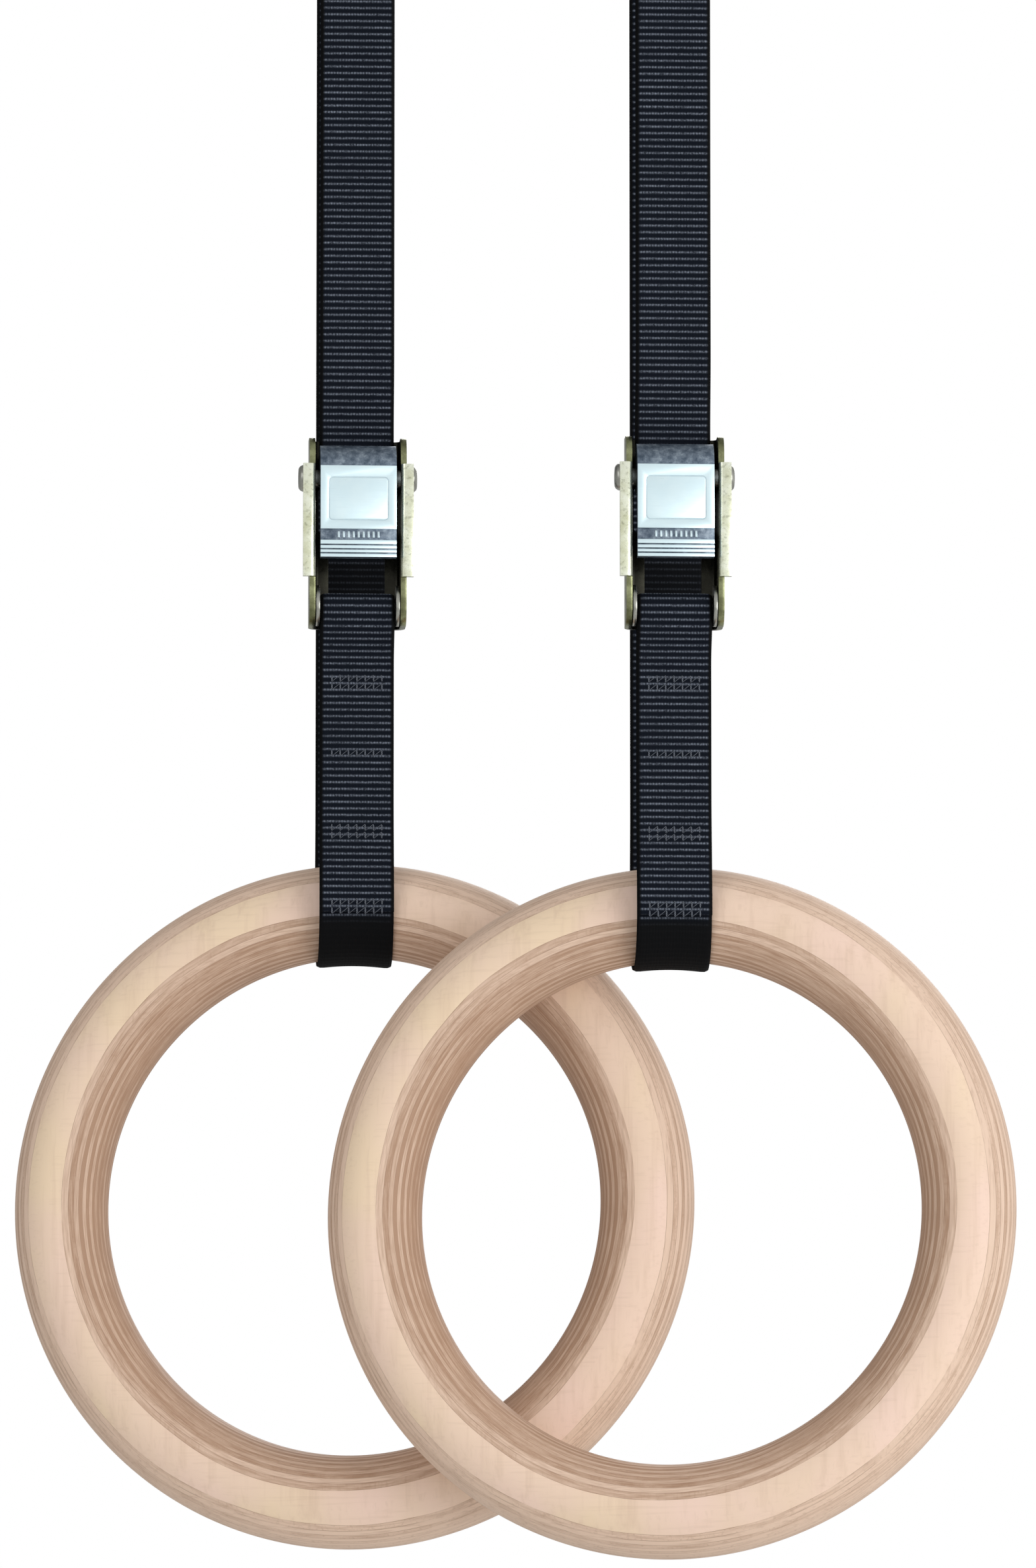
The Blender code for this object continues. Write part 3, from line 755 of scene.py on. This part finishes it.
def buckle_frame(material):
    """Folded from one strip of steel: base, two sides, and flanges turned out in the middle."""
    piece = start(
        "plane", "buckle_frame", size=1.0, location=(0, BASE_Y, up((FRAME_LOW + FRAME_HIGH) / 2)),
        rotation=(math.radians(90), 0, 0), scale=(2 * SIDE_X, FRAME_HIGH - FRAME_LOW, 1),
    )
    lug_y = FLANGE_Y + SHEET_T + 0.5 * MM
    with Editing(piece, "EDGE") as edit:
        for side in (-1, 1):
            edit.pick(lambda a, b: near(a.x, side * SIDE_X) and near(b.x, side * SIDE_X))
            extrude((0, lug_y - BASE_Y, 0))
        for height in (FLANGE_LOW, FLANGE_HIGH):
            bpy.ops.mesh.select_all(action="SELECT")
            bpy.ops.mesh.bisect(plane_co=(0, 0, up(height)), plane_no=(0, 0, 1))
        for side in (-1, 1):
            edit.pick(lambda a, b: near(a.y, lug_y) and near(b.y, lug_y)
                      and a.x * side > 0 and b.x * side > 0
                      and near(abs(a.z - b.z), FLANGE_HIGH - FLANGE_LOW))
            extrude((0, FLANGE_Y - lug_y, 0))
            extrude((side * (FLANGE_X - SIDE_X), 0, 0))
        edit.pick(lambda a, b: near(a.y, BASE_Y) and near(b.y, BASE_Y)
                  and near(a.x, b.x) and not near(a.z, b.z))
        bpy.ops.mesh.bevel(offset=1.6 * MM, segments=5, affect="EDGES")
        edit.pick(lambda a, b: near(a.y, FLANGE_Y) and near(b.y, FLANGE_Y)
                  and near(abs(a.x), SIDE_X) and near(abs(b.x), SIDE_X))
        bpy.ops.mesh.bevel(offset=1.7 * MM, segments=6, affect="EDGES")
    with Editing(piece, "VERT") as edit:
        ends = (up(FRAME_LOW), up(FRAME_HIGH))
        edit.pick(lambda v: near(v.y, lug_y) and any(near(v.z, end) for end in ends))
        bpy.ops.mesh.bevel(offset=6.5 * MM, segments=8, affect="VERTICES")
    with Editing(piece, "FACE"):
        bpy.ops.mesh.select_all(action="SELECT")
        bpy.ops.mesh.normals_make_consistent(inside=False)
    base_out = sum(face.normal.y for face in piece.data.polygons if near(face.center.y, BASE_Y))
    apply_modifier(
        piece, "SOLIDIFY", thickness=SHEET_T, offset=1.0 if base_out > 0 else -1.0, use_even_offset=True,
    )
    reach = 40 * MM
    openings = (
        (WINDOW_HALF, WINDOW_LOW, WINDOW_HIGH),
        (OPEN_HALF, FRAME_LOW - 10 * MM, BRIDGE_LOW),
    )
    for half, low, high in openings:
        opening = block("opening", (-half, -reach, up(low)), (half, 0, up(high)))
        with Editing(opening, "EDGE") as edit:
            edit.pick(lambda a, b: near(a.x, b.x) and near(a.z, b.z))
            bpy.ops.mesh.bevel(offset=2 * MM, segments=5, affect="EDGES")
        combine(piece, opening, "DIFFERENCE")
    combine(piece, rod("pin_hole", PIN_R + 0.1 * MM, PIN, 2 * reach), "DIFFERENCE")
    bar = Vector((0, FIXED_BAR.y, up(FIXED_BAR.z)))
    combine(piece, rod("bar_hole", FIXED_BAR_R + 0.1 * MM, bar, 2 * reach), "DIFFERENCE")
    ease_edges(piece, 0.3 * MM)
    piece.data.materials.append(material)
    return piece


def fixed_bar(material):
    """The bar that the sewn fold goes round, with a collar inside each side of the frame."""
    middle = Vector((0, FIXED_BAR.y, up(FIXED_BAR.z)))
    piece = rod("fixed_bar", FIXED_BAR_R, middle, 2 * (SIDE_X + SHEET_T))
    for side in (-1, 1):
        place = middle + Vector((side * (SIDE_X - GAP - COLLAR_T / 2), 0, 0))
        combine(piece, rod("collar", COLLAR_R, place, COLLAR_T), "UNION")
    ease_edges(piece, 0.25 * MM)
    piece.data.materials.append(material)
    return piece


def lever_pin(material):
    """A plain pin, riveted over at both ends."""
    seat = SIDE_X + SHEET_T + 0.15 * MM
    piece = rod("lever_pin", PIN_R, PIN, 2 * seat)
    for side in (-1, 1):
        head = rod("head", PIN_HEAD_R, PIN + Vector((side * (seat + PIN_HEAD_L / 2), 0, 0)), PIN_HEAD_L)
        with Editing(head, "FACE") as edit:
            edit.pick(lambda centre, normal: normal.x * side > 0.9)
            bpy.ops.mesh.bevel(offset=1.9 * MM, segments=6, affect="EDGES")
            edit.pick(lambda centre, normal: normal.x * side > 0.99 and (centre - PIN).length > seat)
            bpy.ops.mesh.inset(thickness=0.7 * MM, depth=-0.25 * MM)
        combine(piece, head, "UNION")
    ease_edges(piece, 0.15 * MM)
    piece.data.materials.append(material)
    return piece


def lever_block(name, half, depth, height, round_off=0.0, x=0.0):
    """A block in millimetres from the pin, with round corners in its front face if asked."""
    low, high = zip((x - half, x + half), depth, height)
    piece = block(name, PIN + Vector(low) * MM, PIN + Vector(high) * MM)
    if round_off:
        with Editing(piece, "EDGE") as edit:
            edit.pick(lambda a, b: near(a.x, b.x) and near(a.z, b.z))
            bpy.ops.mesh.bevel(offset=round_off * MM, segments=6, affect="EDGES")
    return piece


LEVER_FRONT = -9.0 * MM     # the thumb plate's face, from the pin


def cam_lever(material):
    """Hub, thumb plate with an engraved panel and grip ribs, and cam teeth behind."""
    width = LEVER_HIGH.x - LEVER_LOW.x
    half, front = width / 2 / MM, LEVER_FRONT / MM
    past, clear = half + 1, front - 1
    piece = rod("cam_lever", 8.5 * MM, PIN + Vector((0, 0, 2.8 * MM)), width, 64)
    with Editing(piece, "FACE"):
        bpy.ops.mesh.select_all(action="SELECT")
        back = PIN + Vector((0, 5.4 * MM, 0))
        bpy.ops.mesh.bisect(plane_co=back, plane_no=(0, 1, 0), use_fill=True, clear_outer=True)
    combine(piece, rod("core", 5.8 * MM, PIN, width), "UNION")
    combine(piece, lever_block("plate", half, (front, -4.8), (-28.4, 3.2)), "UNION")
    for k in range(4):
        tooth = rod("tooth", 1.5 * MM, PIN + Vector((0, 5.0 * MM, (1.6 + 1.9 * k) * MM)), width, 3)
        combine(piece, tooth, "UNION")
    groove = lever_block("groove", 10.3, (clear, front + 0.25), (-15.8, -0.7), 1.5)
    combine(groove, lever_block("field", 9.9, (clear - 1, front + 1), (-15.4, -1.1), 1.1), "DIFFERENCE")
    cuts = [
        groove,
        lever_block("band", past, (clear, front + 0.6), (-22.6, -18.7)),
        lever_block("spring_room", 4.2, (-4.7, 9.0), (-10.0, 4.7)),
        rod("bore", PIN_R + 0.1 * MM, PIN, 2 * width),
    ]
    for z in (-24.2, -25.7, -27.1):
        cuts.append(lever_block("slot", past, (clear, front + 0.9), (z - 0.25, z + 0.25)))
    for tool in cuts:
        combine(piece, tool, "DIFFERENCE")
    for k in range(-4, 5):
        mark = lever_block("mark", 0.35, (front + 0.25, front + 1), (-21.7, -19.6), x=1.7 * k)
        combine(piece, mark, "UNION")
    ease_edges(piece, 0.16 * MM)
    piece.data.materials.append(material)
    return piece


SPRING_R, WIRE_R, SPRING_TURNS, SPRING_HALF = 3.9 * MM, 0.5 * MM, 2.5, 2.9 * MM


def lever_spring(material):
    """A coil round the pin, its ends drawn out to a leg on the plate and a leg on the base."""
    piece = start(
        "circle", "lever_spring", vertices=12, radius=WIRE_R, fill_type="NOTHING",
        rotation=(math.radians(90), 0, 0), location=(SPRING_R, 0, 0),
    )
    steps = round(28 * SPRING_TURNS)
    apply_modifier(
        piece, "SCREW", angle=2 * math.pi * SPRING_TURNS, screw_offset=2 * SPRING_HALF, axis="Z",
        steps=steps, render_steps=steps, use_normal_calculate=True,
    )
    legs = ((SPRING_R, 0.0, (0, -12 * MM, 0)), (-SPRING_R, 2 * SPRING_HALF, (-4 * MM, -22 * MM, 0)))
    with Editing(piece, "EDGE") as edit:
        for x, z, leg in legs:
            end = Vector((x, 0, z))
            edit.pick(lambda a, b: all(
                abs(v.y) < 0.01 * MM and (v - end).length < 1.1 * WIRE_R for v in (a, b)))
            extrude(leg)
            bpy.ops.mesh.edge_face_add()
        bpy.ops.mesh.select_all(action="SELECT")
        bpy.ops.mesh.normals_make_consistent(inside=False)
    # The coil's own axes to the set's: its height to -X, its start to -Y and its legs down.
    turn = Matrix(((0, 0, -1), (-1, 0, 0), (0, 1, 0)))
    for vertex in piece.data.vertices:
        vertex.co = turn @ (vertex.co - Vector((0, 0, SPRING_HALF))) + PIN
    make_active(piece)
    bpy.ops.object.shade_smooth_by_angle(angle=math.radians(50))
    piece.data.materials.append(material)
    return piece


# Ring


def wooden_ring(side):
    """Turned from plywood: the tube's section, spun about the ring's axis."""
    centre = joint_place(f"{side}_ring_spin")
    across = Vector((math.cos(RING_TURN), math.sin(RING_TURN), 0))
    piece = start("circle", f"{side}_wooden_ring", vertices=72, radius=TUBE_R,
                  location=centre + across * (RING_R - TUBE_R), rotation=(0, 0, RING_TURN))
    with Editing(piece, "EDGE"):
        bpy.ops.mesh.select_all(action="SELECT")
        bpy.ops.mesh.spin(steps=240, angle=2 * math.pi, center=centre, axis=RING_AXIS)
        bpy.ops.mesh.select_all(action="SELECT")
        bpy.ops.mesh.remove_doubles(threshold=0.01 * MM)
        bpy.ops.mesh.normals_make_consistent(inside=False)
    make_active(piece)
    bpy.ops.object.shade_smooth()
    piece.data.materials.append(birch_plywood(f"{side}_birch_plywood", centre))
    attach(piece, f"{side}_ring")
    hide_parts(f"{side}_ring")


# Putting the sets together


def copy_to(side, pattern):
    """The pattern's own copy for one set, with its own mesh."""
    piece = pattern.copy()
    piece.data = pattern.data.copy()
    piece.name = f"{side}_{pattern.name}_piece"
    bpy.context.scene.collection.objects.link(piece)
    piece.data.transform(Matrix.Translation(BAR_PLACE[side]))
    return piece


def settle(piece, body, slot, *nodes):
    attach(piece, body)
    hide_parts(*nodes)


def twist_below_buckle(piece):
    """Bakes the piece's transform into its mesh; it does not twist the strap."""
    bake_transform(piece)


def place_straps(side, upper, lower):
    """Copies both straps to the set, and hides the frame's webbing parts that they stand for."""
    piece = copy_to(side, upper)
    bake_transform(piece)
    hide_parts(f"{side}_top_loop", f"{side}_front_webbing", f"{side}_rear_webbing")
    piece = copy_to(side, lower)
    twist_below_buckle(piece)
    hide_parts(f"{side}_sewn_fold", f"{side}_ring_bight", f"{side}_sewn_end")


def place_bar_tacks(side, tacks):
    """Copies the bar tacks to the set, and hides the frame's parts that they stand for."""
    for number, tack in enumerate(tacks, start=1):
        piece = copy_to(side, tack)
        twist_below_buckle(piece)
        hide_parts(f"{side}_bar_tack_{number}")


def place_spring(side, spring):
    """Copies the spring to the set, and hides the frame's spring part."""
    piece = copy_to(side, spring)
    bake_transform(piece)
    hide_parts(f"{side}_lever_spring")


def main():
    make_camera()
    make_studio()
    cloth, thread, steel = black_webbing(), sewing_thread(), bright_steel()
    upper, upper_length = upper_strap(cloth)
    lower, lower_length = lower_strap(cloth)
    tacks = [bar_tack(number, rows, thread) for number, rows in enumerate(TACK_ROWS, start=1)]
    bracket = buckle_frame(steel)
    bar, pin, spring = fixed_bar(steel), lever_pin(steel), lever_spring(steel)
    lever = cam_lever(steel)
    for side in SIDES:
        wooden_ring(side)
        place_straps(side, upper, lower)
        place_bar_tacks(side, tacks)
        place_spring(side, spring)
        folded = copy_to(side, bracket)
        folded.data.materials[0] = yellow_zinc(f"{side}_yellow_zinc", BAR_PLACE[side])
        settle(folded, f"{side}_strap", "zinc_yellow", f"{side}_buckle_frame")
        settle(copy_to(side, bar), f"{side}_strap", "steel", f"{side}_fixed_bar")
        settle(copy_to(side, pin), f"{side}_strap", "steel", f"{side}_lever_pin")
        handle = copy_to(side, lever)
        handle.data.materials[0] = cast_zinc(f"{side}_cast_zinc", BAR_PLACE[side] + PIN)
        settle(handle, f"{side}_lever", "zinc_cast", f"{side}_cam_lever")
    for pattern in (upper, lower, bracket, bar, pin, spring, lever, *tacks):
        bpy.data.objects.remove(pattern, do_unlink=True)


main()
